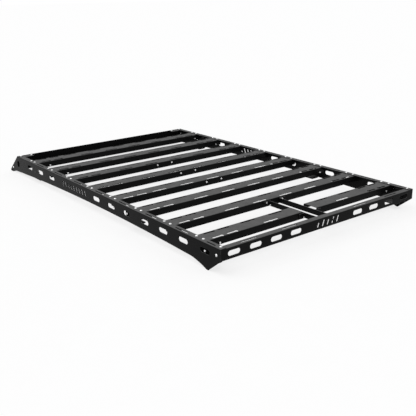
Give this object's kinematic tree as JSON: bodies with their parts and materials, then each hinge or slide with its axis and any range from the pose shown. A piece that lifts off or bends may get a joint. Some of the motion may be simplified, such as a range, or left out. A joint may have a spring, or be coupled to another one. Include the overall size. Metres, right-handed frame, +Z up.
{
  "type": "roof rack",
  "caption": "Flat platform roof rack of folded black sheet: slotted side plates, slotted cross bars, raked front fairing and an aerial gap at the rear.",
  "frame": {"origin": "middle of the rack's outline, on the plane it stands on", "axes": "+X to the vehicle's right, +Y to its front, +Z up"},
  "size_m": [1.35, 2.298, 0.125],
  "materials": {
    "powder_coat": "satin",
    "pad_rubber": "matte",
    "plated_steel": "plated"
  },
  "bodies": {
    "root": {"cross_bar_1": "powder_coat", "cross_bar_2": "powder_coat", "cross_bar_3": "powder_coat", "cross_bar_4": "powder_coat", "cross_bar_5": "powder_coat", "cross_bar_6": "powder_coat", "cross_bar_7": "powder_coat", "cross_bar_8_left": "powder_coat", "cross_bar_8_right": "powder_coat", "front_fairing": "powder_coat", "gap_channel_left": "powder_coat", "gap_channel_right": "powder_coat", "left_cleat_1": "powder_coat", "left_cleat_2": "powder_coat", "left_cleat_3": "powder_coat", "left_cleat_4": "powder_coat", "left_cleat_5": "powder_coat", "left_cleat_6": "powder_coat", "left_cleat_7": "powder_coat", "left_cleat_8": "powder_coat", "left_front_foot": "powder_coat", "left_front_foot_pad": "pad_rubber", "left_middle_foot": "powder_coat", "left_middle_foot_pad": "pad_rubber", "left_rear_foot": "powder_coat", "left_rear_foot_pad": "pad_rubber", "left_side_plate": "powder_coat", "rear_plate": "powder_coat", "right_cleat_1": "powder_coat", "right_cleat_2": "powder_coat", "right_cleat_3": "powder_coat", "right_cleat_4": "powder_coat", "right_cleat_5": "powder_coat", "right_cleat_6": "powder_coat", "right_cleat_7": "powder_coat", "right_cleat_8": "powder_coat", "right_front_foot": "powder_coat", "right_front_foot_pad": "pad_rubber", "right_middle_foot": "powder_coat", "right_middle_foot_pad": "pad_rubber", "right_rear_foot": "powder_coat", "right_rear_foot_pad": "pad_rubber", "right_side_plate": "powder_coat"}
  },
  "joints": []
}
